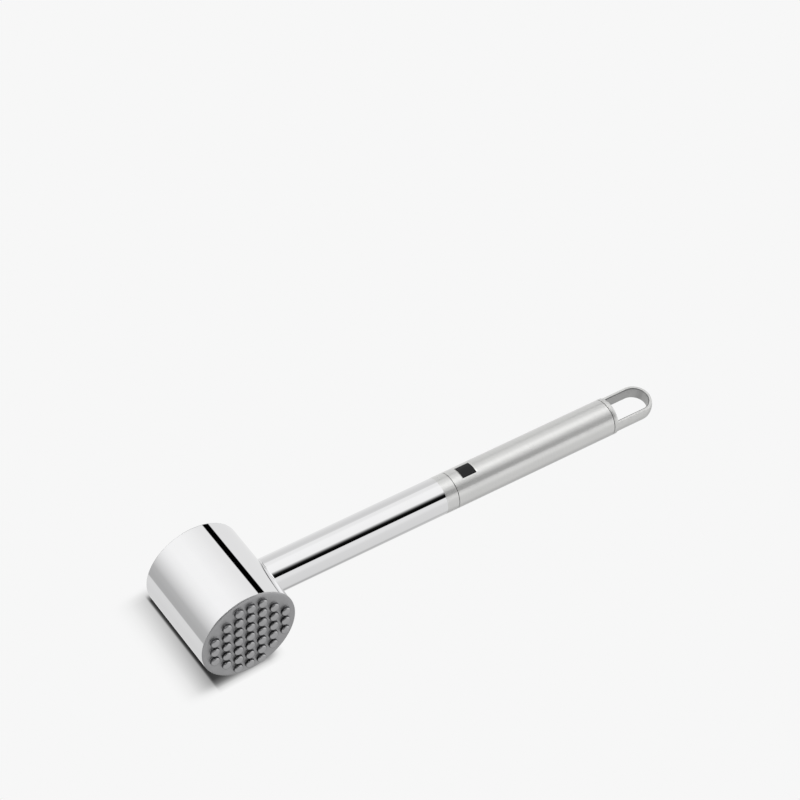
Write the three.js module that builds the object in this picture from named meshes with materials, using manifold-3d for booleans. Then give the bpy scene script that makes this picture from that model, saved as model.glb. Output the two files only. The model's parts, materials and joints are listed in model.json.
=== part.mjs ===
// Meat mallet: a weighted round steel head with a knobbed and a smooth striking face, on a
// tubular steel handle that ends in a hanging loop. Millimetres, +Z up.
//
// Every piece is made in the mallet's own frame: origin at the head's centre, striking axis
// along Y (knobbed face towards -Y), handle along +X. The last lines lay the mallet down on
// z = 0: the head on its side, and the end cap's collar touching the table.

import * as THREE from 'three';
import { mergeVertices } from 'three/addons/utils/BufferGeometryUtils.js';
import Module from 'manifold-3d';

const wasm = await Module();
wasm.setup();

// ---------------------------------------------------------------- driving dimensions

const GAP = 0.3; // clearance between neighbouring pieces

const HEAD_RADIUS = 25.35;
const HEAD_LENGTH = 52.6; // over the two striking faces, without the knobs
const SLEEVE_WALL = 2.5;
const EDGE_WIDTH = 2.2; // a striking face's rounded edge, along the radius
const EDGE_DEPTH = 0.9; // the same edge, along the head's axis
const FACE_SPIGOT_LENGTH = 8; // how deep a striking face plugs into the sleeve

const KNOB_PITCH = 6.37;
const KNOB_RADIUS = 2.45;
const KNOB_HEIGHT = 1.9;
const KNOB_CROWN = 0.85; // rounding of a knob's top edge
const KNOB_REACH = 3; // knobs on either side of the middle one
const KNOB_LIMIT = 10; // largest sum of squared grid steps that still has a knob
const KNOB_GRID_TURN = THREE.MathUtils.degToRad(1.9); // the grid isn't quite square to the handle

const HANDLE_RADIUS = 9.65;
const HANDLE_WALL = 1.5;
const NECK_END = 130.2; // all handle stations are distances from the head's centre
const GRIP_END = 224.9;
const COLLAR_END = 227.5;
const LOOP_TIP = 253.3;

const STUD_RADIUS = 5;
const STUD_START = 5;
const STUD_END = 42;
const NECK_PLUG_LENGTH = 20;
const JOINT_SPIGOT_LENGTH = 28;
const INNER_CHAMFER = 1; // on the ends of the slug, stud, plug and spigot

const WELD_HEIGHT = 0.9; // weld bead where the neck meets the head
const WELD_STEPS = 2;

const BADGE_LENGTH = 8;
const BADGE_WIDTH = 7.6;
const BADGE_CORNER = 0.5;
const BADGE_START = 135.9;
const BADGE_OFFSET = 0.35; // towards the smooth face's side
const BADGE_THICKNESS = 0.3;
const BADGE_PROUD = 0.04;

const LOOP_TURN = THREE.MathUtils.degToRad(4.7); // about the handle, smooth face's side up
const LOOP_RADIUS = 9.3;
const LOOP_THICKNESS = 6.9;
const SLOT_HALF_WIDTH = 7.1;
const COLLAR_ROUNDING = 0.5;
const CAP_SPIGOT_LENGTH = 12;

const HEAD_SEGMENTS = 72;
const HANDLE_SEGMENTS = 48;
const INNER_SEGMENTS = 24;
const KNOB_SEGMENTS = 10;
const EDGE_STEPS = 3;
const OVERSHOOT = 1; // how far a cutting tool runs past the piece it cuts

// ---------------------------------------------------------------- finishes

const POLISHED = { color: 0xe2e3e4, roughness: 0.05 };
const BRUSHED = { color: 0xc9c9c7, roughness: 0.34 };
const BLASTED = { color: 0x8f9090, roughness: 0.6 };
const MATTE = { color: 0xbfc0bd, roughness: 0.5 };
const PLAIN_STEEL = { color: 0x9a9b9d, roughness: 0.45 };
const DARK_ENAMEL = { color: 0x161616, roughness: 0.4, metalness: 0 };

// ---------------------------------------------------------------- solids and booleans

function toSolid(geometry) {
  const bare = geometry.clone();
  bare.deleteAttribute('normal');
  bare.deleteAttribute('uv');
  const merged = mergeVertices(bare);
  const index = merged.index.array;
  const triangles = [];
  for (let i = 0; i < index.length; i += 3) {
    const [a, b, c] = [index[i], index[i + 1], index[i + 2]];
    if (a !== b && b !== c && c !== a) {
      triangles.push(a, b, c);
    }
  }
  return new wasm.Manifold(new wasm.Mesh({
    numProp: 3,
    vertProperties: new Float32Array(merged.attributes.position.array),
    triVerts: new Uint32Array(triangles),
  }));
}

function toGeometry(solid) {
  const mesh = solid.getMesh();
  const geometry = new THREE.BufferGeometry();
  geometry.setAttribute('position', new THREE.BufferAttribute(new Float32Array(mesh.vertProperties), 3));
  geometry.setIndex(new THREE.BufferAttribute(new Uint32Array(mesh.triVerts), 1));
  geometry.computeVertexNormals();
  return geometry;
}

// A profile is a list of [radius, station along the axis], in order of rising station.
function turnedAboutY(profile, segments) {
  return new THREE.LatheGeometry(profile.map(([r, y]) => new THREE.Vector2(r, y)), segments);
}

function turnedAboutX(profile, segments) {
  return turnedAboutY(profile, segments).rotateZ(-Math.PI / 2);
}

function rod(radius, start, end) {
  return [[0, start], [radius, start], [radius, end], [0, end]];
}

function chamferedRod(radius, start, end) {
  return [
    [0, start],
    [radius - INNER_CHAMFER, start],
    [radius, start + INNER_CHAMFER],
    [radius, end - INNER_CHAMFER],
    [radius - INNER_CHAMFER, end],
    [0, end],
  ];
}

function tube(outer, inner, start, end) {
  return [[inner, start], [outer, start], [outer, end], [inner, end], [inner, start]];
}

// Points of a quarter ellipse from (radius, start) in to (radius - width, start + depth).
function roundedEdge(radius, start, width, depth) {
  const points = [];
  for (let i = 0; i <= EDGE_STEPS; i += 1) {
    const angle = (i / EDGE_STEPS) * Math.PI / 2;
    points.push([radius - width * (1 - Math.cos(angle)), start + depth * Math.sin(angle)]);
  }
  return points;
}

// ---------------------------------------------------------------- head

const faceStation = HEAD_LENGTH / 2;
const landStation = faceStation - EDGE_DEPTH; // where the sleeve ends and the face's edge begins
const boreRadius = HEAD_RADIUS - SLEEVE_WALL;
const plugRadius = boreRadius - GAP;
const studHoleRadius = STUD_RADIUS + GAP;

function headCylinder(radius) {
  return toSolid(turnedAboutY(rod(radius, -HEAD_LENGTH, HEAD_LENGTH), HEAD_SEGMENTS));
}

function studHole(start, end) {
  return toSolid(turnedAboutX(rod(studHoleRadius, start, end), INNER_SEGMENTS));
}

function headSleeve() {
  const half = landStation - GAP;
  const pipe = toSolid(turnedAboutY(tube(HEAD_RADIUS, boreRadius, -half, half), HEAD_SEGMENTS));
  return toGeometry(pipe.subtract(studHole(0, HEAD_RADIUS + OVERSHOOT)));
}

function coreWeight() {
  const half = landStation - FACE_SPIGOT_LENGTH - GAP;
  const slug = toSolid(turnedAboutY(chamferedRod(plugRadius, -half, half), HEAD_SEGMENTS));
  return toGeometry(slug.subtract(studHole(STUD_START - GAP, HEAD_RADIUS)));
}

// A striking face looking towards +Y, with the spigot that plugs it into the sleeve.
function faceBlank() {
  const profile = [
    [0, landStation - FACE_SPIGOT_LENGTH],
    [plugRadius, landStation - FACE_SPIGOT_LENGTH],
    [plugRadius, landStation],
    ...roundedEdge(HEAD_RADIUS, landStation, EDGE_WIDTH, EDGE_DEPTH),
    [0, faceStation],
  ];
  return turnedAboutY(profile, HEAD_SEGMENTS);
}

function knob() {
  const profile = [
    [0, faceStation - OVERSHOOT],
    [KNOB_RADIUS, faceStation - OVERSHOOT],
    ...roundedEdge(KNOB_RADIUS, faceStation + KNOB_HEIGHT - KNOB_CROWN, KNOB_CROWN, KNOB_CROWN),
    [0, faceStation + KNOB_HEIGHT],
  ];
  return turnedAboutY(profile, KNOB_SEGMENTS);
}

function knobbedFace() {
  let face = toSolid(faceBlank());
  for (let column = -KNOB_REACH; column <= KNOB_REACH; column += 1) {
    for (let row = -KNOB_REACH; row <= KNOB_REACH; row += 1) {
      if (column * column + row * row <= KNOB_LIMIT) {
        face = face.add(toSolid(knob().translate(column * KNOB_PITCH, 0, row * KNOB_PITCH)));
      }
    }
  }
  return toGeometry(face).rotateZ(Math.PI).rotateY(KNOB_GRID_TURN);
}

// ---------------------------------------------------------------- joint between head and handle

const tubeBore = HANDLE_RADIUS - HANDLE_WALL;
const insertRadius = tubeBore - GAP;

function headStud() {
  return turnedAboutX(chamferedRod(STUD_RADIUS, STUD_START, STUD_END), INNER_SEGMENTS);
}

function neckPlug() {
  const start = HEAD_RADIUS + GAP;
  const profile = chamferedRod(insertRadius, start, start + NECK_PLUG_LENGTH);
  const plug = toSolid(turnedAboutX(profile, INNER_SEGMENTS));
  return toGeometry(plug.subtract(studHole(start - OVERSHOOT, STUD_END + GAP)));
}

// The bead follows the saddle between neck and head. Each step is a thinner ring that stands
// a little further off the head, so the steps make a fillet.
function neckWeld() {
  const inner = HANDLE_RADIUS + GAP;
  const headSkin = headCylinder(HEAD_RADIUS + GAP);
  let bead = null;
  for (let step = 1; step <= WELD_STEPS; step += 1) {
    const height = WELD_HEIGHT * (step / WELD_STEPS);
    const width = WELD_HEIGHT * (1 - (step - 1) / WELD_STEPS) ** 2;
    const ring = tube(inner + width, inner, HEAD_RADIUS / 2, HEAD_RADIUS + WELD_HEIGHT + OVERSHOOT);
    const layer = toSolid(turnedAboutX(ring, HANDLE_SEGMENTS))
      .intersect(headCylinder(HEAD_RADIUS + GAP + height))
      .subtract(headSkin);
    bead = bead === null ? layer : bead.add(layer);
  }
  return toGeometry(bead);
}

// ---------------------------------------------------------------- handle

function neckTube() {
  const pipe = toSolid(turnedAboutX(tube(HANDLE_RADIUS, tubeBore, 0, NECK_END - GAP / 2), HANDLE_SEGMENTS));
  return toGeometry(pipe.subtract(headCylinder(HEAD_RADIUS + GAP)));
}

function jointSpigot() {
  const half = JOINT_SPIGOT_LENGTH / 2;
  return turnedAboutX(chamferedRod(insertRadius, NECK_END - half, NECK_END + half), INNER_SEGMENTS);
}

// A square-cornered pad through the top of the grip, grown by the given margin all round.
function badgePrism(margin) {
  const length = BADGE_LENGTH + 2 * margin;
  const width = BADGE_WIDTH + 2 * margin;
  const corner = BADGE_CORNER + margin;
  const outline = new THREE.Shape();
  outline.moveTo(corner, 0);
  outline.lineTo(length - corner, 0);
  outline.absarc(length - corner, corner, corner, -Math.PI / 2, 0);
  outline.lineTo(length, width - corner);
  outline.absarc(length - corner, width - corner, corner, 0, Math.PI / 2);
  outline.lineTo(corner, width);
  outline.absarc(corner, width - corner, corner, Math.PI / 2, Math.PI);
  outline.lineTo(0, corner);
  outline.absarc(corner, corner, corner, Math.PI, 1.5 * Math.PI);
  const prism = new THREE.ExtrudeGeometry(outline, {
    depth: HANDLE_RADIUS,
    bevelEnabled: false,
    curveSegments: EDGE_STEPS,
  });
  const side = BADGE_OFFSET - width / 2;
  return toSolid(prism.translate(BADGE_START - margin, side, HANDLE_RADIUS / 2));
}

function badgeShell(outer, inner) {
  const ends = [BADGE_START - BADGE_LENGTH, BADGE_START + 2 * BADGE_LENGTH];
  return toSolid(turnedAboutX(tube(outer, inner, ...ends), HANDLE_SEGMENTS));
}

const badgeTop = HANDLE_RADIUS + BADGE_PROUD;
const badgeUnderside = badgeTop - BADGE_THICKNESS;

function gripTube() {
  const ends = [NECK_END + GAP / 2, GRIP_END - GAP / 2];
  const pipe = toSolid(turnedAboutX(tube(HANDLE_RADIUS, tubeBore, ...ends), HANDLE_SEGMENTS));
  const pocket = badgePrism(GAP).intersect(badgeShell(HANDLE_RADIUS + OVERSHOOT, badgeUnderside - GAP));
  return toGeometry(pipe.subtract(pocket));
}

function badgeInlay() {
  return toGeometry(badgePrism(0).intersect(badgeShell(badgeTop, badgeUnderside)));
}

// ---------------------------------------------------------------- end cap with hanging loop

// Collar and the spigot that plugs into the grip.
function capCollar() {
  const start = GRIP_END + GAP / 2;
  const profile = [
    [0, start - CAP_SPIGOT_LENGTH],
    [insertRadius, start - CAP_SPIGOT_LENGTH],
    [insertRadius, start],
    [HANDLE_RADIUS, start],
    ...roundedEdge(HANDLE_RADIUS, COLLAR_END - COLLAR_ROUNDING, COLLAR_ROUNDING, COLLAR_ROUNDING),
    [0, COLLAR_END],
  ];
  return toSolid(turnedAboutX(profile, HANDLE_SEGMENTS));
}

// The loop is a ball-ended bar milled flat above and below.
function loopBar() {
  const noseCentre = LOOP_TIP - LOOP_RADIUS;
  const profile = [[0, COLLAR_END - OVERSHOOT], [LOOP_RADIUS, COLLAR_END - OVERSHOOT]];
  const noseSteps = HANDLE_SEGMENTS / 4;
  for (let i = 0; i < noseSteps; i += 1) {
    const angle = (i / noseSteps) * Math.PI / 2;
    profile.push([LOOP_RADIUS * Math.cos(angle), noseCentre + LOOP_RADIUS * Math.sin(angle)]);
  }
  profile.push([0, LOOP_TIP]);
  const length = LOOP_TIP - COLLAR_END + 2 * OVERSHOOT;
  const slab = new THREE.BoxGeometry(length, 2 * HANDLE_RADIUS, LOOP_THICKNESS);
  slab.translate(COLLAR_END - OVERSHOOT + length / 2, 0, 0);
  return toSolid(turnedAboutX(profile, HANDLE_SEGMENTS)).intersect(toSolid(slab));
}

function loopSlot() {
  const endCentre = LOOP_TIP - LOOP_RADIUS;
  const outline = new THREE.Shape();
  outline.moveTo(COLLAR_END, -SLOT_HALF_WIDTH);
  outline.lineTo(endCentre, -SLOT_HALF_WIDTH);
  outline.absarc(endCentre, 0, SLOT_HALF_WIDTH, -Math.PI / 2, Math.PI / 2);
  outline.lineTo(COLLAR_END, SLOT_HALF_WIDTH);
  const prism = new THREE.ExtrudeGeometry(outline, {
    depth: LOOP_THICKNESS + 2 * OVERSHOOT,
    bevelEnabled: false,
    curveSegments: HANDLE_SEGMENTS / 2,
  });
  return toSolid(prism.translate(0, 0, -LOOP_THICKNESS / 2 - OVERSHOOT));
}

function endCap() {
  const cap = toGeometry(capCollar().add(loopBar()).subtract(loopSlot()));
  return cap.rotateX(LOOP_TURN);
}

// ---------------------------------------------------------------- assembly

const mallet = new THREE.Group();

function addPiece(name, geometry, look) {
  const mesh = new THREE.Mesh(geometry, new THREE.MeshStandardMaterial({ metalness: 1, ...look }));
  mesh.name = name;
  mallet.add(mesh);
}

addPiece('head_sleeve', headSleeve(), POLISHED);
addPiece('core_weight', coreWeight(), PLAIN_STEEL);
addPiece('knobbed_face', knobbedFace(), BLASTED);
addPiece('smooth_face', faceBlank(), POLISHED);
addPiece('head_stud', headStud(), PLAIN_STEEL);
addPiece('neck_plug', neckPlug(), PLAIN_STEEL);
addPiece('neck_weld', neckWeld(), POLISHED);
addPiece('neck_tube', neckTube(), POLISHED);
addPiece('joint_spigot', jointSpigot(), PLAIN_STEEL);
addPiece('grip_tube', gripTube(), BRUSHED);
addPiece('badge_inlay', badgeInlay(), DARK_ENAMEL);
addPiece('end_cap', endCap(), MATTE);

// At rest the handle slopes down until the collar's rim reaches the table that the head lies on.
const rimDistance = Math.hypot(COLLAR_END, HANDLE_RADIUS);
const rimAngle = Math.atan2(HANDLE_RADIUS, COLLAR_END);
mallet.rotation.y = Math.asin(HEAD_RADIUS / rimDistance) - rimAngle;

// The origin is on the table, under the middle of the mallet's outline.
const box = new THREE.Box3().setFromObject(mallet, true);
const middle = box.getCenter(new THREE.Vector3());
mallet.position.set(-middle.x, -middle.y, HEAD_RADIUS);

export default mallet;
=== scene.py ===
import json
import math

import bmesh
import bpy
from mathutils import Matrix, Vector
from mathutils.geometry import delaunay_2d_cdt


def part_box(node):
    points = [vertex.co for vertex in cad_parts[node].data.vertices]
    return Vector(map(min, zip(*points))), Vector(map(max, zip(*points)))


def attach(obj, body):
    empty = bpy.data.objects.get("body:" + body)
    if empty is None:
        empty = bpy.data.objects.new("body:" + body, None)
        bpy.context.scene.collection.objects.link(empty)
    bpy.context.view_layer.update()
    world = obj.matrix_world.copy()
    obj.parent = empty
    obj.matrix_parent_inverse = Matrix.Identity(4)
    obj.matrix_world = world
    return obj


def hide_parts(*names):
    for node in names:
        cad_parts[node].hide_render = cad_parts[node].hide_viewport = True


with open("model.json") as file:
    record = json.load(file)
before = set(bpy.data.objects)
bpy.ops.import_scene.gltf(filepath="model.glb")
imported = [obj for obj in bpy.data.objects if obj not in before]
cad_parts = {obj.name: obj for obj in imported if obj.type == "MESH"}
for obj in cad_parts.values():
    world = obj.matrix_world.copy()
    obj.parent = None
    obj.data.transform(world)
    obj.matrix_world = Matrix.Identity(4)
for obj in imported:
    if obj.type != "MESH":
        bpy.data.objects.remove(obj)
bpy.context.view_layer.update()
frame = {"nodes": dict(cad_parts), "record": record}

# Meat mallet. Lengths named *_MM and those read by span_mm are millimetres; everything handed to
# Blender is in metres. Handle pieces are made in the handle's frame: origin at the head's centre,
# +X along the handle, +Y towards the smooth face. The loop is turned a little about the handle.
# Head pieces are made around the head's centre, unturned.

MM = 0.001

# ------------------------------------------------------------------ places from the frame

loop_axis = next(m["axis"] for m in frame["record"]["mounts"] if m["name"] == "hanging_loop")
HANDLE_SLOPE = math.atan2(loop_axis[0], loop_axis[2])
LOOP_TURN = math.asin(-loop_axis[1])

sleeve_low, sleeve_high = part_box("head_sleeve")
HEAD_CENTRE = (sleeve_low + sleeve_high) / 2
HEAD_FRAME = Matrix.Translation(HEAD_CENTRE)
HANDLE_FRAME = HEAD_FRAME @ Matrix.Rotation(HANDLE_SLOPE, 4, "Y")
LOOP_FRAME = HANDLE_FRAME @ Matrix.Rotation(LOOP_TURN, 4, "X")


def span_mm(node, turned):
    """Lowest and highest corner of a CAD node in the head's or the handle's frame."""
    back = (HANDLE_FRAME if turned else HEAD_FRAME).inverted()
    points = [back @ v.co / MM for v in frame["nodes"][node].data.vertices]
    low = Vector(min(p[i] for p in points) for i in range(3))
    high = Vector(max(p[i] for p in points) for i in range(3))
    return low, high


sleeve_span = span_mm("head_sleeve", False)
knobbed_span = span_mm("knobbed_face", False)
smooth_span = span_mm("smooth_face", False)
neck_span = span_mm("neck_tube", True)
grip_span = span_mm("grip_tube", True)
cap_span = span_mm("end_cap", True)
badge_span = span_mm("badge_inlay", True)

HEAD_RADIUS = sleeve_span[1].z
FACE_STATION = smooth_span[1].y
HANDLE_RADIUS = grip_span[1].y
SEAM_STATION = (neck_span[1].x + grip_span[0].x) / 2
CAP_SEAM_STATION = grip_span[1].x
LOOP_TIP = cap_span[1].x

# ------------------------------------------------------------------ sizes the frame doesn't name

SLEEVE_WALL_MM = 2.5
EDGE_WIDTH_MM = 2.2
EDGE_DEPTH_MM = 0.9
SPIGOT_GAP_MM = 0.3
SPIGOT_BEVEL_MM = 0.5
SLEEVE_RIM_MM = 0.06
SLEEVE_RIM_END_MM = 0.11
FACE_GAP_MM = 0.01
FACE_INSET_MM = 0.02
STUD_HOLE_START_MM = 10
STUD_HOLE_PAST_MM = 1
KNOB_PITCH_MM = 6.37
KNOB_RADIUS_MM = 2.45
KNOB_REACH = 3
KNOB_LIMIT = 10  # the most that column squared plus row squared may be
KNOB_GRID_TURN = HANDLE_SLOPE + math.radians(1.9)
KNOB_FOOT_MM = 0.16
KNOB_DOME_MM = 0.09
KNOB_HEIGHT_MM = -FACE_STATION - knobbed_span[0].y
KNOB_CROWN_MM = 0.85
KNOB_CROWN_DEGREES = 80
KNOB_TOP_SHARE = 0.55  # of the crown's height, from its upper end down

HANDLE_WALL_MM = 1.5
BAND_START_MM = 123.3
SEAM_WIDTH_MM = 0.3
RIM_MM = 0.12
NECK_COPE_GAP_MM = 0.02
NECK_STRAIGHT_MM = 2
WELD_MM = 0.9
WELD_OFF_NECK_MM = 0.006
WELD_OFF_HEAD_MM = 0.004
WELD_ROOT_MM = 0.005
COLLAR_END_MM = 227.5
COLLAR_ROUNDING_MM = 0.5
LOOP_RADIUS_MM = 9.3
LOOP_HALF_MM = 3.45
SLOT_HALF_MM = 7.1
LOOP_EDGE_MM = 0.35
SLOT_LINE_MM = 0.08
LOOP_ROOT_MM = 0.8
COLLAR_FACE_MM = 0.05  # what lies no further than this past the collar is the collar's end
CAP_SPIGOT_MM = 12

BADGE_LIFT_MM = 0.03
BADGE_DEPTH_MM = 0.28
BADGE_LINE_MM = 0.06

HEAD_STEPS = 256
HANDLE_STEPS = 192
KNOB_STEPS = 40
HOLE_STEPS = 48
EDGE_STEPS = 14
RIM_STEPS = 4
SLEEVE_RINGS = 40
FACE_RINGS = 8
NECK_RINGS = 16
GRIP_RINGS = 60
WELD_RINGS = 20
DOME_RINGS = 5
BADGE_STEPS = 14
BADGE_COLUMNS = 4
LOOP_ARM_STEPS = 10
LOOP_END_STEPS = 64
SHARP_DEGREES = 32
TINY_MM = 1e-6


# ------------------------------------------------------------------ mesh helpers

def arc(centre, radii, start, end, steps):
    """Points of an elliptic arc in the (radius, station) plane, angles in degrees."""
    points = []
    for i in range(steps + 1):
        a = math.radians(start + (end - start) * i / steps)
        points.append((centre[0] + radii[0] * math.cos(a), centre[1] + radii[1] * math.sin(a)))
    return points


def between(start, end, steps):
    """Points strictly between two profile points, so that long faces stay short."""
    return [
        (start[0] + (end[0] - start[0]) * i / steps, start[1] + (end[1] - start[1]) * i / steps)
        for i in range(1, steps)
    ]


def place(axis, radius, station, angle):
    """A point on a turned surface, in metres, for a turning axis of X or Y."""
    side, up = radius * math.cos(angle) * MM, radius * math.sin(angle) * MM
    if axis == "X":
        return Vector((station * MM, side, up))
    return Vector((side, station * MM, up))


def turn(bm, profile, axis, steps, closed=True):
    """Turns a profile of (radius, station) points. Points on the axis become one vertex."""
    rings = []
    for radius, station in profile:
        if radius < TINY_MM:
            rings.append([bm.verts.new(place(axis, 0, station, 0))])
        else:
            rings.append([
                bm.verts.new(place(axis, radius, station, 2 * math.pi * k / steps))
                for k in range(steps)
            ])
    pairs = list(zip(rings, rings[1:]))
    if closed and len(rings[0]) > 1 and len(rings[-1]) > 1:
        pairs.append((rings[-1], rings[0]))
    for first, second in pairs:
        bridge(bm, first, second, steps)
    return rings


def bridge(bm, first, second, steps):
    """Faces between two rings, either of which may be a single vertex."""
    for k in range(steps):
        n = (k + 1) % steps
        if len(first) == 1 and len(second) == 1:
            return
        if len(first) == 1:
            bm.faces.new((first[0], second[n], second[k]))
        elif len(second) == 1:
            bm.faces.new((first[k], first[n], second[0]))
        else:
            bm.faces.new((first[k], first[n], second[n], second[k]))


def to_object(bm, name, matrix):
    """Makes the mesh an object: smooth faces, unless tagged, and sharp edges at steep angles."""
    bmesh.ops.recalc_face_normals(bm, faces=bm.faces[:])
    for face in bm.faces:
        face.smooth = not face.tag
    mesh = bpy.data.meshes.new(name)
    bm.to_mesh(mesh)
    bm.free()
    mesh.set_sharp_from_angle(angle=math.radians(SHARP_DEGREES))
    obj = bpy.data.objects.new(name, mesh)
    bpy.context.scene.collection.objects.link(obj)
    obj.matrix_world = matrix
    return obj


def cut(obj, tool, operation):
    """Joins or cuts obj by another mesh, then deletes that mesh."""
    modifier = obj.modifiers.new("cut", "BOOLEAN")
    modifier.operation = operation
    modifier.solver = "EXACT"
    modifier.object = tool
    bpy.context.view_layer.update()
    graph = bpy.context.evaluated_depsgraph_get()
    mesh = bpy.data.meshes.new_from_object(obj.evaluated_get(graph))
    obj.modifiers.clear()
    old = obj.data
    obj.data = mesh
    bpy.data.meshes.remove(old)
    bpy.data.objects.remove(tool)
    return obj


def finish_piece(obj, material, slot, *nodes):
    """Gives the piece its material and puts it in the place of its CAD nodes; the slot is not used."""
    obj.data.materials.clear()
    obj.data.materials.append(material)
    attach(obj, "root")
    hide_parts(*nodes)
    return obj


# ------------------------------------------------------------------ materials

# Where nearly all values of a noise lie.
NOISE_SPAN = (0.3, 0.7)


class Nodes:
    """A small wrapper that keeps node code short."""

    def __init__(self, tree):
        self.tree = tree
        self.tree.nodes.clear()

    def add(self, kind, **settings):
        node = self.tree.nodes.new(kind)
        for key, value in settings.items():
            setattr(node, key, value)
        return node

    def link(self, source, target):
        self.tree.links.new(source, target)

    def put(self, value, socket):
        """Sets a number on a socket, or links another node's output to it."""
        if isinstance(value, (int, float)):
            socket.default_value = value
        else:
            self.link(value, socket)

    def math(self, operation, first, second):
        node = self.add("ShaderNodeMath", operation=operation)
        self.put(first, node.inputs[0])
        self.put(second, node.inputs[1])
        return node.outputs[0]

    def blend(self, first, second, factor):
        """first where the factor is 0 and second where it is 1."""
        node = self.add("ShaderNodeMix", data_type="FLOAT")
        self.link(factor, node.inputs["Factor"])
        self.put(first, node.inputs["A"])
        self.put(second, node.inputs["B"])
        return node.outputs["Result"]

    def ramp(self, value, low, high, to_low, to_high):
        """A smooth step from to_low to to_high as the value goes from low to high."""
        node = self.add("ShaderNodeMapRange", clamp=True, interpolation_type="SMOOTHSTEP")
        self.link(value, node.inputs["Value"])
        limits = {"From Min": low, "From Max": high, "To Min": to_low, "To Max": to_high}
        for name, number in limits.items():
            node.inputs[name].default_value = number
        return node.outputs["Result"]

    def noise(self, coordinates, stretch, scale, detail=3.0, roughness=0.5):
        mapping = self.add("ShaderNodeMapping")
        mapping.inputs["Scale"].default_value = stretch
        self.link(coordinates, mapping.inputs["Vector"])
        node = self.add("ShaderNodeTexNoise")
        node.inputs["Scale"].default_value = scale
        node.inputs["Detail"].default_value = detail
        node.inputs["Roughness"].default_value = roughness
        self.link(mapping.outputs["Vector"], node.inputs["Vector"])
        return node.outputs["Fac"]

    def colour_between(self, factor, first, second):
        node = self.add("ShaderNodeMix", data_type="RGBA")
        node.inputs["A"].default_value = (*first, 1)
        node.inputs["B"].default_value = (*second, 1)
        self.link(factor, node.inputs["Factor"])
        return node.outputs["Result"]

    def bump(self, height, distance, strength):
        node = self.add("ShaderNodeBump")
        node.inputs["Distance"].default_value = distance
        node.inputs["Strength"].default_value = strength
        self.link(height, node.inputs["Height"])
        return node.outputs["Normal"]


def new_material(name):
    """A material, its nodes, its main shader and the object's own coordinates."""
    material = bpy.data.materials.new(name)
    material.use_nodes = True
    nodes = Nodes(material.node_tree)
    output = nodes.add("ShaderNodeOutputMaterial")
    shader = nodes.add("ShaderNodeBsdfPrincipled")
    nodes.link(shader.outputs["BSDF"], output.inputs["Surface"])
    coordinates = nodes.add("ShaderNodeTexCoord").outputs["Object"]
    return material, nodes, shader, coordinates


def shades(nodes, factor, colour, low, high):
    """The colour between two of its own shades, given as factors."""
    dark = tuple(c * low for c in colour)
    light = tuple(c * high for c in colour)
    return nodes.colour_between(factor, dark, light)


def polished_steel(name, colour=(0.735, 0.735, 0.74)):
    """Mirror finish: fine random scratches and faint polishing haze."""
    material, nodes, shader, place_on = new_material(name)
    haze = nodes.noise(place_on, stretch=(1, 1, 1), scale=90)
    scratches = nodes.noise(place_on, stretch=(1, 14, 14), scale=420, detail=4, roughness=0.7)
    nodes.link(shades(nodes, haze, colour, 0.985, 1.015), shader.inputs["Base Color"])
    haze_rough = nodes.ramp(haze, *NOISE_SPAN, 0.018, 0.028)
    scratch_rough = nodes.ramp(scratches, 0.6, 0.85, 0, 0.015)
    nodes.link(nodes.math("ADD", haze_rough, scratch_rough), shader.inputs["Roughness"])
    shader.inputs["Metallic"].default_value = 1
    nodes.link(nodes.bump(scratches, distance=0.00002, strength=0.008), shader.inputs["Normal"])
    return material


def brushed_steel(name, colour=(0.66, 0.66, 0.65)):
    """Satin finish with brushing that runs round the handle."""
    material, nodes, shader, place_on = new_material(name)
    fine = nodes.noise(place_on, stretch=(1, 0.02, 0.02), scale=5200, roughness=0.6)
    streaks = nodes.noise(place_on, stretch=(1, 0.06, 0.06), scale=1500, roughness=0.6)
    patches = nodes.noise(place_on, stretch=(1, 1, 1), scale=60, detail=2)
    nodes.link(shades(nodes, streaks, colour, 0.93, 1.06), shader.inputs["Base Color"])
    streak_rough = nodes.ramp(streaks, *NOISE_SPAN, 0.27, 0.35)
    patch_rough = nodes.ramp(patches, *NOISE_SPAN, 0, 0.03)
    nodes.link(nodes.math("ADD", streak_rough, patch_rough), shader.inputs["Roughness"])
    shader.inputs["Metallic"].default_value = 1
    shader.inputs["Anisotropic"].default_value = 0.9
    shader.inputs["Anisotropic Rotation"].default_value = 0.25
    tangent = nodes.add("ShaderNodeTangent", direction_type="RADIAL", axis="X")
    nodes.link(tangent.outputs["Tangent"], shader.inputs["Tangent"])
    nodes.link(nodes.bump(fine, distance=0.00002, strength=0.12), shader.inputs["Normal"])
    return material


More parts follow.
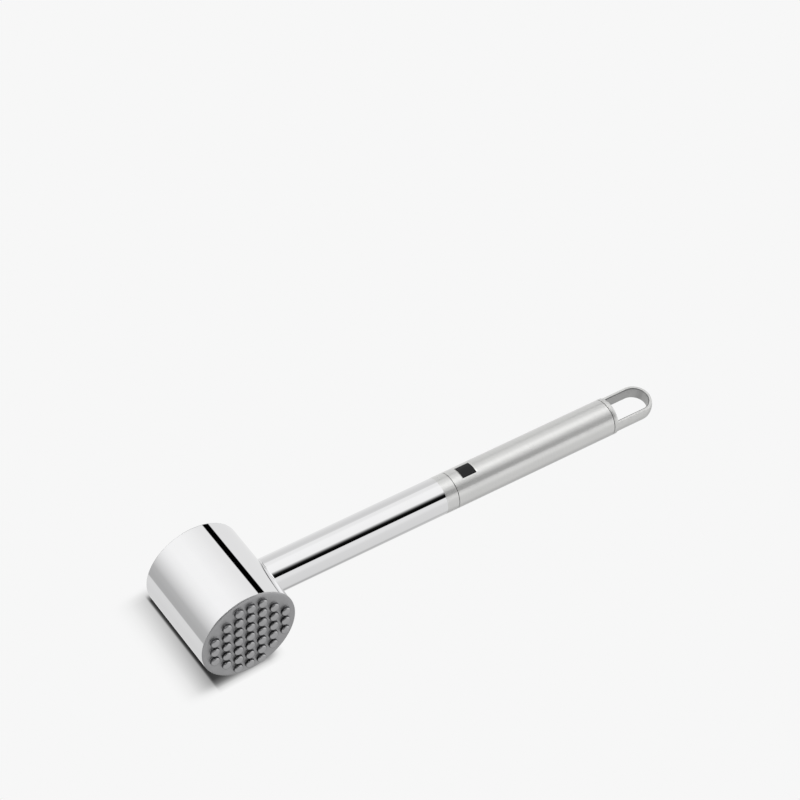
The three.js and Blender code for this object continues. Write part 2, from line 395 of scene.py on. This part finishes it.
def blasted_steel(name, colour, roughness, grain_scale, grain_depth, edge=1.0):
    """Bead-blasted casting: a fine even grain, slow changes of tone and, if asked, painted shade on
    edges turned from the view.
    """
    material, nodes, shader, place_on = new_material(name)
    grain = nodes.noise(place_on, stretch=(1, 1, 1), scale=grain_scale, detail=4, roughness=0.6)
    tone = nodes.noise(place_on, stretch=(1, 1, 1), scale=240)
    mixed = nodes.math("ADD", nodes.math("MULTIPLY", grain, 0.5), nodes.math("MULTIPLY", tone, 0.5))
    base = shades(nodes, mixed, colour, 0.84, 1.16)
    # Painted shade: where the surface turns away from the view the base colour is darkened, down to the
    # factor edge.
    if edge < 1:
        facing = nodes.add("ShaderNodeLayerWeight").outputs["Facing"]
        dark = nodes.colour_between(nodes.ramp(facing, 0.55, 0.85, 0, 1), (1, 1, 1), (edge, edge, edge))
        edge_painted_shade = nodes.add("ShaderNodeMix", data_type="RGBA", blend_type="MULTIPLY")
        edge_painted_shade.inputs["Factor"].default_value = 1
        nodes.link(base, edge_painted_shade.inputs["A"])
        nodes.link(dark, edge_painted_shade.inputs["B"])
        base = edge_painted_shade.outputs["Result"]
    nodes.link(base, shader.inputs["Base Color"])
    rough = nodes.ramp(grain, *NOISE_SPAN, roughness - 0.05, roughness + 0.05)
    nodes.link(rough, shader.inputs["Roughness"])
    shader.inputs["Metallic"].default_value = 1
    nodes.link(nodes.bump(grain, distance=grain_depth, strength=0.5), shader.inputs["Normal"])
    return material


def plain_steel(name, colour=(0.45, 0.45, 0.46)):
    """Turned steel inside the mallet."""
    material, nodes, shader, place_on = new_material(name)
    marks = nodes.noise(place_on, stretch=(1, 1, 1), scale=900)
    nodes.link(shades(nodes, marks, colour, 0.85, 1.1), shader.inputs["Base Color"])
    nodes.link(nodes.ramp(marks, *NOISE_SPAN, 0.38, 0.5), shader.inputs["Roughness"])
    shader.inputs["Metallic"].default_value = 1
    nodes.link(nodes.bump(marks, distance=0.00002, strength=0.3), shader.inputs["Normal"])
    return material


def dark_enamel(name):
    """Blank near-black inlay with a little orange peel."""
    material, nodes, shader, place_on = new_material(name)
    peel = nodes.noise(place_on, stretch=(1, 1, 1), scale=1400, detail=2)
    base = nodes.colour_between(peel, (0.004, 0.004, 0.005), (0.009, 0.009, 0.01))
    nodes.link(base, shader.inputs["Base Color"])
    nodes.link(nodes.ramp(peel, *NOISE_SPAN, 0.5, 0.6), shader.inputs["Roughness"])
    shader.inputs["Specular IOR Level"].default_value = 0.25
    nodes.link(nodes.bump(peel, distance=0.00001, strength=0.3), shader.inputs["Normal"])
    return material


POLISHED = polished_steel("polished_steel")
BRUSHED = brushed_steel("brushed_steel")
BLASTED = blasted_steel("blasted_steel", (0.36, 0.36, 0.365), 0.46, 3200, 0.00006)
# Knob walls: painted shade, a darker copy of the blasted steel where the knobs' sides lie in shade.
KNOB_WALL_SHADE = blasted_steel("knob_wall_painted_shade", (0.12, 0.12, 0.125), 0.36, 3200, 0.00006)
# Knob tops: painted light, a lighter copy of the blasted steel, with painted shade on edges turned from
# the view.
KNOB_TOP_LIGHT_SHADE = blasted_steel("knob_top_painted_light_and_shade", (0.38, 0.38, 0.385), 0.36, 3200, 0.00006, edge=0.15)
MATTE = blasted_steel("matte_steel", (0.62, 0.62, 0.61), 0.40, 4200, 0.00003)
# Slot wall and slot edge: painted shade, darker copies of the matte steel inside the loop's slot.
SLOT_WALL_SHADE = blasted_steel("slot_wall_painted_shade", (0.42, 0.42, 0.415), 0.42, 4200, 0.00003)
SLOT_EDGE_SHADE = blasted_steel("slot_edge_painted_shade", (0.2, 0.2, 0.2), 0.45, 4200, 0.00003)
PLAIN = plain_steel("plain_steel")
ENAMEL = dark_enamel("dark_enamel")


# ------------------------------------------------------------------ head

land = FACE_STATION - EDGE_DEPTH_MM
bore = HEAD_RADIUS - SLEEVE_WALL_MM
spigot = bore - SPIGOT_GAP_MM


def make_sleeve():
    """The barrel, with a hole for the stud."""
    bm = bmesh.new()
    end = land - FACE_GAP_MM
    rim = SLEEVE_RIM_MM
    near, far = (HEAD_RADIUS, -end + SLEEVE_RIM_END_MM), (HEAD_RADIUS, end - SLEEVE_RIM_END_MM)
    profile = [(bore, -end)]
    profile += arc((HEAD_RADIUS - rim, -end + rim), (rim, rim), -90, 0, 3)
    profile += [near] + between(near, far, SLEEVE_RINGS) + [far]
    profile += arc((HEAD_RADIUS - rim, end - rim), (rim, rim), 0, 90, 3)
    profile += [(bore, end)]
    turn(bm, profile, "Y", HEAD_STEPS)
    sleeve = to_object(bm, "sleeve", HEAD_FRAME)
    tool = bmesh.new()
    hole = span_mm("head_stud", True)[1].y + SPIGOT_GAP_MM
    first, last = STUD_HOLE_START_MM, HEAD_RADIUS + STUD_HOLE_PAST_MM
    turn(tool, [(0, first), (hole, first), (hole, last), (0, last)], "X", HOLE_STEPS)
    cut(sleeve, to_object(tool, "hole_tool", HANDLE_FRAME), "DIFFERENCE")
    return finish_piece(sleeve, POLISHED, "polished_steel", "head_sleeve")


def face_back_profile():
    """From the axis at the back of a striking face out to the front of its rounded edge."""
    back = smooth_span[0].y
    bevel = SPIGOT_BEVEL_MM
    profile = [(0, back), (spigot - bevel, back), (spigot, back + bevel), (spigot, land)]
    profile += [(HEAD_RADIUS - FACE_INSET_MM, land + FACE_GAP_MM)]
    middle = (HEAD_RADIUS - EDGE_WIDTH_MM, land)
    edge = arc(middle, (EDGE_WIDTH_MM, EDGE_DEPTH_MM), 0, 90, EDGE_STEPS)
    return profile + edge[1:]


def knob_profile():
    """(radius, height) from the foot fillet's outer edge to the middle of the dome."""
    wall_top = KNOB_HEIGHT_MM - KNOB_DOME_MM - KNOB_CROWN_MM
    fillet, crown_radius = KNOB_FOOT_MM, KNOB_CROWN_MM
    foot = arc((KNOB_RADIUS_MM + fillet, fillet), (fillet, fillet), 270, 180, 5)
    crown = arc(
        (KNOB_RADIUS_MM - crown_radius, wall_top), (crown_radius, crown_radius),
        0, KNOB_CROWN_DEGREES, 9,
    )
    rim_radius, rim_height = crown[-1]
    dome = []
    for i in range(1, DOME_RINGS + 1):
        r = rim_radius * (1 - i / DOME_RINGS)
        dome.append((r, KNOB_HEIGHT_MM - (KNOB_HEIGHT_MM - rim_height) * (r / rim_radius) ** 2))
    return foot + crown + dome


def knob_centres():
    """Knob positions on the striking face, as (x, z) about its middle."""
    centres = []
    c, s = math.cos(KNOB_GRID_TURN), math.sin(KNOB_GRID_TURN)
    for column in range(-KNOB_REACH, KNOB_REACH + 1):
        for row in range(-KNOB_REACH, KNOB_REACH + 1):
            if column * column + row * row <= KNOB_LIMIT:
                x, z = column * KNOB_PITCH_MM, row * KNOB_PITCH_MM
                centres.append((x * c + z * s, z * c - x * s))
    return centres


def make_knobbed_face():
    """The knobbed face in one mesh; knob walls carry a painted shade, and knob tops a painted light
    with painted shade at their edges.
    """
    bm = bmesh.new()
    profile = [(radius, -station) for radius, station in face_back_profile()]
    rings = turn(bm, profile, "Y", HEAD_STEPS, closed=False)
    feet = [add_knob(bm, x, z) for x, z in knob_centres()]
    fill_plane(bm, rings[-1], feet)
    face = to_object(bm, "knob_face", HEAD_FRAME)
    finish_piece(face, BLASTED, "blasted_steel", "knobbed_face")
    face.data.materials.append(KNOB_WALL_SHADE)
    face.data.materials.append(KNOB_TOP_LIGHT_SHADE)
    top_start = KNOB_HEIGHT_MM - KNOB_DOME_MM - KNOB_CROWN_MM * KNOB_TOP_SHARE
    # Painted light and shade: knob walls take the darker copy (1), knob tops the lighter copy with
    # shaded edges (2).
    for polygon in face.data.polygons:
        height = -polygon.center.y / MM - FACE_STATION
        if KNOB_FOOT_MM / 2 < height < top_start:
            polygon.material_index = 1
        elif height >= top_start:
            polygon.material_index = 2
    return face


def add_knob(bm, x, z):
    """One knob of the striking face; gives back the ring of its foot."""
    rings = []
    for radius, height in knob_profile():
        station = -(FACE_STATION + height) * MM
        if radius < TINY_MM:
            rings.append([bm.verts.new((x * MM, station, z * MM))])
            continue
        turns = [2 * math.pi * k / KNOB_STEPS for k in range(KNOB_STEPS)]
        rings.append([
            bm.verts.new(((x + radius * math.cos(a)) * MM, station, (z + radius * math.sin(a)) * MM))
            for a in turns
        ])
    for first, second in zip(rings, rings[1:]):
        bridge(bm, first, second, KNOB_STEPS)
    return rings[0]


def fill_plane(bm, border, feet):
    """Fills the striking plane between its border and the knobs' feet with flat faces.

    The triangulation also covers the inside of each foot, and there every corner belongs to that
    one foot, so those triangles are left out.
    """
    verts = list(border) + [v for foot in feet for v in foot]
    points = [Vector((v.co.x, v.co.z)) / MM for v in verts]
    edges = []
    start = 0
    for ring in [border] + feet:
        count = len(ring)
        edges += [(start + k, start + (k + 1) % count) for k in range(count)]
        start += count
    owner = [0] * len(border) + [n for n, foot in enumerate(feet, 1) for _ in foot]
    triangles, sources = delaunay_2d_cdt(points, edges, [], 1, TINY_MM)[2:4]
    for triangle in triangles:
        corners = [sources[i][0] for i in triangle]
        rings = {owner[i] for i in corners}
        if len(rings) > 1 or 0 in rings:
            face = bm.faces.new([verts[i] for i in corners])
            face.smooth = False
            face.tag = True


def make_smooth_face():
    """The flat face at the head's other end."""
    bm = bmesh.new()
    profile = face_back_profile()
    profile += between(profile[-1], (0, FACE_STATION), FACE_RINGS) + [(0, FACE_STATION)]
    turn(bm, profile, "Y", HEAD_STEPS, closed=False)
    face = to_object(bm, "flat_face", HEAD_FRAME)
    return finish_piece(face, POLISHED, "polished_steel", "smooth_face")


# ------------------------------------------------------------------ handle

def head_surface(radius, angle):
    """Station where a line parallel to the handle, off its axis, meets the sleeve."""
    return math.sqrt(HEAD_RADIUS ** 2 - (radius * math.sin(angle)) ** 2)


def ring_at(bm, radius, station_of):
    """A ring round the handle, whose station may change with the angle."""
    angles = [2 * math.pi * k / HANDLE_STEPS for k in range(HANDLE_STEPS)]
    return [bm.verts.new(place("X", radius, station_of(a), a)) for a in angles]


def saddle_ring(bm, radius, off_neck, off_head):
    """A ring that follows the sleeve, moved off the neck's side and off the sleeve."""
    return ring_at(bm, radius + off_neck, lambda a: head_surface(radius, a) + off_head)


def make_weld():
    """A concave bead that runs round the saddle between head and neck."""
    bm = bmesh.new()
    rings = [saddle_ring(bm, HANDLE_RADIUS, WELD_ROOT_MM, WELD_ROOT_MM)]
    for i in range(WELD_RINGS + 1):
        t = i / WELD_RINGS
        radius = HANDLE_RADIUS + WELD_MM * (1 - t) ** 2
        lift = WELD_MM * t ** 2
        rings.append(saddle_ring(bm, radius, WELD_OFF_NECK_MM, lift + WELD_OFF_HEAD_MM))
    for first, second in zip(rings, rings[1:] + rings[:1]):
        bridge(bm, first, second, HANDLE_STEPS)
    bead = to_object(bm, "weld_bead", HANDLE_FRAME)
    return finish_piece(bead, POLISHED, "polished_steel", "neck_weld")


def make_neck():
    """Polished tube, coped to the head, with the brushed band at its far end."""
    bm = bmesh.new()
    inner = HANDLE_RADIUS - HANDLE_WALL_MM
    end = SEAM_STATION - SEAM_WIDTH_MM / 2
    rings = [saddle_ring(bm, radius, 0, NECK_COPE_GAP_MM) for radius in (inner, HANDLE_RADIUS)]
    near, far = (HANDLE_RADIUS, HEAD_RADIUS + NECK_STRAIGHT_MM), (HANDLE_RADIUS, BAND_START_MM)
    outline = [near] + between(near, far, NECK_RINGS) + [far, (HANDLE_RADIUS, end - 2 * RIM_MM)]
    outline += arc((HANDLE_RADIUS - RIM_MM, end - RIM_MM), (RIM_MM, RIM_MM), 0, 90, RIM_STEPS)
    outline += [(inner, end)]
    for radius, station in outline:
        rings.append(ring_at(bm, radius, lambda a, s=station: s))
    for first, second in zip(rings, rings[1:] + rings[:1]):
        bridge(bm, first, second, HANDLE_STEPS)
    neck = to_object(bm, "neck", HANDLE_FRAME)
    finish_piece(neck, POLISHED, "polished_steel", "neck_tube")
    neck.data.materials.append(BRUSHED)
    for polygon in neck.data.polygons:
        if polygon.center.x > BAND_START_MM * MM:
            polygon.material_index = 1
    return neck


def make_grip():
    """Brushed tube with a shallow pocket for the inlay."""
    bm = bmesh.new()
    inner = HANDLE_RADIUS - HANDLE_WALL_MM
    start, end = SEAM_STATION + SEAM_WIDTH_MM / 2, CAP_SEAM_STATION
    profile = [(inner, start)]
    profile += arc((HANDLE_RADIUS - RIM_MM, start + RIM_MM), (RIM_MM, RIM_MM), -90, 0, RIM_STEPS)
    near, far = (HANDLE_RADIUS, start + 2 * RIM_MM), (HANDLE_RADIUS, end - 2 * RIM_MM)
    profile += [near] + between(near, far, GRIP_RINGS) + [far]
    profile += arc((HANDLE_RADIUS - RIM_MM, end - RIM_MM), (RIM_MM, RIM_MM), 0, 90, RIM_STEPS)
    profile += [(inner, end)]
    turn(bm, profile, "X", HANDLE_STEPS)
    grip = to_object(bm, "grip", HANDLE_FRAME)
    floor = HANDLE_RADIUS + BADGE_LIFT_MM - BADGE_DEPTH_MM - BADGE_LINE_MM
    tool = badge_block("badge_tool", BADGE_LINE_MM, floor, HANDLE_RADIUS + 1)
    cut(grip, tool, "DIFFERENCE")
    return finish_piece(grip, BRUSHED, "brushed_steel", "grip_tube")


def badge_block(name, margin, low_radius, high_radius):
    """A square patch of the handle's skin between two radii, grown by a margin."""
    bm = bmesh.new()
    start, end = badge_span[0].x - margin, badge_span[1].x + margin
    first = math.acos(badge_span[1].y / HANDLE_RADIUS) - margin / HANDLE_RADIUS
    last = math.acos(badge_span[0].y / HANDLE_RADIUS) + margin / HANDLE_RADIUS
    steps, columns = BADGE_STEPS, BADGE_COLUMNS
    stations = [start + (end - start) * j / columns for j in range(columns + 1)]
    angles = [first + (last - first) * i / steps for i in range(steps + 1)]
    low, high = [
        [[bm.verts.new(place("X", radius, station, a)) for a in angles] for station in stations]
        for radius in (low_radius, high_radius)
    ]
    for j in range(columns):
        for i in range(steps):
            bm.faces.new((low[j][i], low[j][i + 1], low[j + 1][i + 1], low[j + 1][i]))
            bm.faces.new((high[j][i], high[j + 1][i], high[j + 1][i + 1], high[j][i + 1]))
    for i in range(steps):
        bm.faces.new((low[0][i], high[0][i], high[0][i + 1], low[0][i + 1]))
        bm.faces.new((low[-1][i], low[-1][i + 1], high[-1][i + 1], high[-1][i]))
    for j in range(columns):
        bm.faces.new((low[j][0], low[j + 1][0], high[j + 1][0], high[j][0]))
        bm.faces.new((low[j][-1], high[j][-1], high[j + 1][-1], low[j + 1][-1]))
    return to_object(bm, name, HANDLE_FRAME)


def make_badge():
    """The blank inlay, a little proud of the grip."""
    top = HANDLE_RADIUS + BADGE_LIFT_MM
    badge = badge_block("badge", 0, top - BADGE_DEPTH_MM, top)
    return finish_piece(badge, ENAMEL, "dark_enamel", "badge_inlay")


# ------------------------------------------------------------------ end cap

def make_cap():
    """Spigot, collar and loop, joined into one casting."""
    start = CAP_SEAM_STATION + SEAM_WIDTH_MM
    plug = HANDLE_RADIUS - HANDLE_WALL_MM - SPIGOT_GAP_MM
    bm = bmesh.new()
    profile = [(0, start - CAP_SPIGOT_MM), (plug, start - CAP_SPIGOT_MM), (plug, start)]
    profile += arc((HANDLE_RADIUS - RIM_MM, start + RIM_MM), (RIM_MM, RIM_MM), -90, 0, RIM_STEPS)
    rounding = COLLAR_ROUNDING_MM
    middle = (HANDLE_RADIUS - rounding, COLLAR_END_MM - rounding)
    profile += arc(middle, (rounding, rounding), 0, 90, 8)
    profile += [(0, COLLAR_END_MM)]
    turn(bm, profile, "X", HANDLE_STEPS, closed=False)
    collar = to_object(bm, "cap", HANDLE_FRAME)
    cut(collar, make_loop(), "UNION")
    collar.data.shade_smooth()
    collar.data.set_sharp_from_angle(angle=math.radians(SHARP_DEGREES))
    collar.data.transform(HANDLE_FRAME)
    collar.matrix_world = Matrix.Identity(4)
    finish_piece(collar, MATTE, "matte_steel", "end_cap")
    collar.data.materials.append(SLOT_WALL_SHADE)
    collar.data.materials.append(SLOT_EDGE_SHADE)
    # Painted shade in the slot: its wall and its upper edge take the darker copies.
    for polygon in collar.data.polygons:
        polygon.material_index = slot_shade_index(LOOP_FRAME.inverted() @ polygon.center / MM)
    return collar


def slot_shade_index(point):
    """0 outside the slot, 1 on its wall (painted shade) and 2 on its upper edge (darker painted shade),
    for a point in the loop's frame.
    """
    beyond = max(point.x - LOOP_TIP + LOOP_RADIUS_MM, 0)
    off_middle = math.hypot(beyond, point.y)
    slot_edge = SLOT_HALF_MM + LOOP_EDGE_MM + SLOT_LINE_MM
    if point.x < COLLAR_END_MM + COLLAR_FACE_MM or off_middle > slot_edge:
        return 0
    return 2 if point.z > LOOP_HALF_MM - LOOP_EDGE_MM else 1


def loop_section():
    """Closed outline of the loop's bar as (distance from the slot's middle, height)."""
    e, half = LOOP_EDGE_MM, LOOP_HALF_MM
    inner = arc((SLOT_HALF_MM + e, -half + e), (e, e), 270, 180, 5)
    inner += arc((SLOT_HALF_MM + e, half - e), (e, e), 180, 90, 5)
    inner.append((SLOT_HALF_MM + e + SLOT_LINE_MM, half))
    edge_angle = math.degrees(math.asin((half - e) / (LOOP_RADIUS_MM - e)))
    corner = (LOOP_RADIUS_MM - e) * math.cos(math.radians(edge_angle))
    outer = arc((corner, half - e), (e, e), 90, edge_angle, 5)
    outer += arc((0, 0), (LOOP_RADIUS_MM, LOOP_RADIUS_MM), edge_angle, -edge_angle, 12)[1:-1]
    outer += arc((corner, -half + e), (e, e), -edge_angle, -90, 5)
    return inner + outer


def make_loop():
    """The bar's outline swept up one arm, round the end and back down the other arm."""
    bm = bmesh.new()
    centre = LOOP_TIP - LOOP_RADIUS_MM
    foot = COLLAR_END_MM - LOOP_ROOT_MM
    arm = [foot + (centre - foot) * i / LOOP_ARM_STEPS for i in range(LOOP_ARM_STEPS)]
    route = [(station, 90) for station in arm]
    route += [(centre, 90 - 180 * i / LOOP_END_STEPS) for i in range(LOOP_END_STEPS + 1)]
    route += [(station, -90) for station in reversed(arm)]
    rings = []
    for station, degrees in route:
        a = math.radians(degrees)
        rings.append([
            bm.verts.new(((station + d * math.cos(a)) * MM, d * math.sin(a) * MM, z * MM))
            for d, z in loop_section()
        ])
    for first, second in zip(rings, rings[1:]):
        bridge(bm, first, second, len(first))
    bm.faces.new(rings[0])
    bm.faces.new(rings[-1])
    return to_object(bm, "loop_tool", LOOP_FRAME)


make_sleeve()
make_knobbed_face()
make_smooth_face()
make_weld()
make_neck()
make_grip()
make_badge()
make_cap()

for node in ("core_weight", "head_stud", "neck_plug", "joint_spigot"):
    inner_piece = frame["nodes"][node]
    inner_piece.data.materials.clear()
    inner_piece.data.materials.append(PLAIN)

# ------------------------------------------------------------------ studio

FLOOR_LEVEL = 0.93
FLOOR_SIZE = 8.0
FLOOR_GAP = 0.00005

# Shadow of the head on the paper: a soft part and a dark line of contact, each laid out across
# and along the head, in millimetres from the head's centre. The lists across give the share of
# the light that is left, and the lists along give how much of that shadow is there.
SHADOW_ACROSS = [
    (-39, 1), (-36, 0.98), (-33, 0.93), (-30, 0.85), (-21, 0.4), (-19, 0.33), (9, 0.33),
    (12, 0.42), (15, 0.83), (18, 1),
]
SHADOW_ALONG = [
    (-30, 0), (-28.5, 0.08), (-27, 0.24), (-24, 0.82), (-22.5, 0.96), (-21, 1), (-18, 1),
    (18, 0.69), (36, 0.59), (39, 0.54), (42, 0.35), (45, 0.06), (47, 0),
]
CONTACT_ACROSS = [
    (-21, 1), (-20.6, 0.9), (-20.2, 0.45), (-19.8, 0.15), (-19.2, 0.06), (9, 0.25), (12, 0.95),
    (13, 1),
]
CONTACT_ALONG = [
    (-30, 0), (-27, 0.15), (-24, 0.6), (-21, 0.9), (-12, 1), (37, 1), (39, 0.7), (41, 0.1),
    (42, 0),
]


def ramp_through(nodes, value, stops, top):
    """Straight lines through the stops: (value, level), in rising order, no level over top."""
    low, high = stops[0][0], stops[-1][0]
    scale = nodes.add("ShaderNodeMapRange", clamp=True)
    scale.inputs["From Min"].default_value = low
    scale.inputs["From Max"].default_value = high
    nodes.link(value, scale.inputs["Value"])
    ramp = nodes.add("ShaderNodeValToRGB")
    elements = ramp.color_ramp.elements
    elements.remove(elements[1])
    for position, level in stops:
        element = elements[0] if position == low else elements.new((position - low) / (high - low))
        grey = level / top
        element.color = (grey, grey, grey, 1)
    nodes.link(scale.outputs["Result"], ramp.inputs["Fac"])
    return nodes.math("MULTIPLY", ramp.outputs["Color"], top)


def make_floor():
    """Pale paper, with the head's shadow in its material."""
    bm = bmesh.new()
    half = FLOOR_SIZE / 2
    corners = ((-half, -half, 0), (half, -half, 0), (half, half, 0), (-half, half, 0))
    bm.faces.new([bm.verts.new(corner) for corner in corners])
    floor = to_object(bm, "floor", Matrix.Translation((0, 0, -FLOOR_GAP)))
    floor.visible_glossy = False
    material = bpy.data.materials.new("floor")
    material.use_nodes = True
    nodes = Nodes(material.node_tree)
    place_on = nodes.add("ShaderNodeSeparateXYZ")
    nodes.link(nodes.add("ShaderNodeTexCoord").outputs["Object"], place_on.inputs[0])
    across = nodes.math("DIVIDE", nodes.math("SUBTRACT", place_on.outputs["X"], HEAD_CENTRE.x), MM)
    along = nodes.math("DIVIDE", nodes.math("SUBTRACT", place_on.outputs["Y"], HEAD_CENTRE.y), MM)
    light = FLOOR_LEVEL
    parts = ((SHADOW_ACROSS, SHADOW_ALONG), (CONTACT_ACROSS, CONTACT_ALONG))
    for across_stops, along_stops in parts:
        shade = nodes.math("SUBTRACT", 1.0, ramp_through(nodes, across, across_stops, 1))
        shade = nodes.math("MULTIPLY", shade, ramp_through(nodes, along, along_stops, 1))
        light = nodes.math("MULTIPLY", nodes.math("SUBTRACT", 1.0, shade), light)
    glow = nodes.add("ShaderNodeEmission")
    nodes.link(light, glow.inputs["Strength"])
    output = nodes.add("ShaderNodeOutputMaterial")
    nodes.link(glow.outputs[0], output.inputs["Surface"])
    floor.data.materials.append(material)


# The light tent, as levels by direction. TENT_ROUND_HEAD goes by the angle round the head's
# axis, from +X up over the top; the other two go by the angle round the handle's axis, from
# the front up over the top to the back.
TENT_ROUND_HEAD = [
    (-180, 0.6), (-164, 0.54), (-152.6, 0.54), (-151.4, 0.89), (-140, 0.89), (-116, 0.82),
    (-108, 0.82), (-100, 0.77), (-88, 0.76), (-70, 0.85), (-46, 0.93), (-14, 0.98), (19.9, 1),
    (20.7, 0), (35.4, 0), (36.2, 1.04), (50, 1.06), (66, 1.12), (98, 1.21), (124, 1.21),
    (139, 1.14), (147, 1.07), (155, 0.97), (171, 0.75), (180, 0.6),
]
TENT_FRONT = [
    (-180, 0.93), (-110, 0.9), (-98, 0.75), (-90, 0.5), (-80, 0.5), (-68, 0.78), (-58, 0.87),
    (-10, 0.9), (-1, 0.96), (7, 1.02), (26.4, 1), (63, 1.17), (90, 1.2), (180, 1.2),
]
TENT_BACK = [
    (-180, 0.91), (-168, 0.93), (-90, 0.93), (90, 1.2), (119, 1.19), (125, 1.13), (136, 0.87),
    (143, 0.82), (151, 0.82), (167, 0.87), (180, 0.91),
]
TENT_TOP = 1.3

# Where the back and then the front take over, as the ends of soft steps in a direction's parts.
# The back is where Y less X is over BACK_EDGE, the part up from the handle is under BACK_TOP and
# X is over BACK_SIDE. The front is where Y is under FRONT_EDGE.
BACK_EDGE = (0.152, 0.21)
BACK_TOP = (0.68, 0.72)
BACK_SIDE = (0, 0.25)
FRONT_EDGE = (0.2, 0.4)

# Dark opening in the tent's front: share of black by the angle round the handle, and its
# extent along the handle as sines, with its softness.
DARK_ROUND = [
    (-180, 0), (25.8, 0), (26.8, 1), (42, 0.995), (44, 0.98), (47, 0.93), (51, 0.77), (55, 0.5),
    (59, 0.2), (63, 0), (180, 0),
]
DARK_OPENING = (0.12, 0.49, 0.02)

# Round patches: direction, inner and outer angle in degrees, level.
TENT_SPOTS = [
    ((0.40, -0.07, -0.91), 4, 8, 0.72),
    ((-0.359, -0.581, 0.731), 34, 47, 0.02),
    ((-0.35, 0.0, 0.937), 14, 26, 2.6),
    ((0.85, -0.45, 0.15), 15, 36, 1.5),
    ((-0.1, 0.9, -0.3), 15, 30, 1.1),
]


def make_world():
    """The light tent; behind the object the camera sees plain paper."""
    world = bpy.data.worlds.new("tent")
    bpy.context.scene.world = world
    world.use_nodes = True
    nodes = Nodes(world.node_tree)
    direction = nodes.add("ShaderNodeTexCoord").outputs["Generated"]

    def along(axis):
        node = nodes.add("ShaderNodeVectorMath", operation="DOT_PRODUCT")
        node.inputs[1].default_value = Vector(axis).normalized()
        nodes.link(direction, node.inputs[0])
        return node.outputs["Value"]

    def angle(rise, run):
        return nodes.math("MULTIPLY", nodes.math("ARCTAN2", rise, run), math.degrees(1))

    def product(first, second):
        return nodes.math("MULTIPLY", first, second)

    x, y, z = along((1, 0, 0)), along((0, 1, 0)), along((0, 0, 1))
    handle_up = along(HANDLE_FRAME.to_3x3() @ Vector((0, 0, 1)))
    handle_out = along(HANDLE_FRAME.to_3x3() @ Vector((1, 0, 0)))
    round_head = angle(z, x)
    round_handle = angle(handle_up, product(y, -1.0))

    level = ramp_through(nodes, round_head, TENT_ROUND_HEAD, TENT_TOP)
    back = nodes.ramp(nodes.math("SUBTRACT", y, x), *BACK_EDGE, 0, 1)
    back = product(back, nodes.ramp(handle_up, *BACK_TOP, 1, 0))
    back = product(back, nodes.ramp(x, *BACK_SIDE, 0, 1))
    level = nodes.blend(level, ramp_through(nodes, round_handle, TENT_BACK, TENT_TOP), back)
    front = nodes.ramp(y, *FRONT_EDGE, 1, 0)
    level = nodes.blend(level, ramp_through(nodes, round_handle, TENT_FRONT, TENT_TOP), front)
    dark = product(front, ramp_through(nodes, round_handle, DARK_ROUND, 1))
    dark = product(band(nodes, handle_out, *DARK_OPENING), dark)
    level = nodes.blend(level, 0.0, dark)
    for axis, inner, outer, brightness in TENT_SPOTS:
        edge = (math.cos(math.radians(outer)), math.cos(math.radians(inner)))
        level = nodes.blend(level, brightness, nodes.ramp(along(axis), *edge, 0, 1))
    seen = nodes.add("ShaderNodeLightPath").outputs["Is Camera Ray"]
    background = nodes.add("ShaderNodeBackground")
    background.inputs["Color"].default_value = (1, 1, 1, 1)
    nodes.link(nodes.blend(level, FLOOR_LEVEL, seen), background.inputs["Strength"])
    output = nodes.add("ShaderNodeOutputWorld")
    nodes.link(background.outputs[0], output.inputs["Surface"])


def band(nodes, value, low, high, soft):
    """1 between low and high, with soft edges."""
    rise = nodes.ramp(value, low - soft, low + soft, 0, 1)
    return nodes.math("MULTIPLY", rise, nodes.ramp(value, high - soft, high + soft, 1, 0))


make_floor()
make_world()

# ------------------------------------------------------------------ camera

# The camera's place is in the handle's frame, in metres, with its angles about the point it is
# aimed at. Its lens and sensor are in millimetres.
CAMERA_AZIMUTH = math.radians(-35.046)
CAMERA_ELEVATION = math.radians(44.814)
CAMERA_ROLL = math.radians(1.985)
CAMERA_AIM = Vector((0.145069, 0.06546, -0.000036))
CAMERA_DISTANCE = 1.3686
CAMERA_LENS = 121.56
CAMERA_SENSOR = 36
CAMERA_REACH = 50


def make_camera():
    """Looks at the aim from the given angles and distance, turned by the roll."""
    data = bpy.data.cameras.new("camera")
    data.lens = CAMERA_LENS
    data.sensor_width = CAMERA_SENSOR
    data.clip_end = CAMERA_REACH
    camera = bpy.data.objects.new("camera", data)
    bpy.context.scene.collection.objects.link(camera)
    back = Vector((
        math.sin(CAMERA_AZIMUTH) * math.cos(CAMERA_ELEVATION),
        -math.cos(CAMERA_AZIMUTH) * math.cos(CAMERA_ELEVATION),
        math.sin(CAMERA_ELEVATION),
    ))
    right = Vector((math.cos(CAMERA_AZIMUTH), math.sin(CAMERA_AZIMUTH), 0))
    up = back.cross(right)
    axes = Matrix((right, up, back)).transposed() @ Matrix.Rotation(CAMERA_ROLL, 3, "Z")
    seat = Matrix.Translation(CAMERA_AIM + back * CAMERA_DISTANCE) @ axes.to_4x4()
    camera.matrix_world = HANDLE_FRAME @ seat
    bpy.context.scene.camera = camera


make_camera()
bpy.context.scene.view_settings.view_transform = "Standard"

bpy.context.view_layer.update()
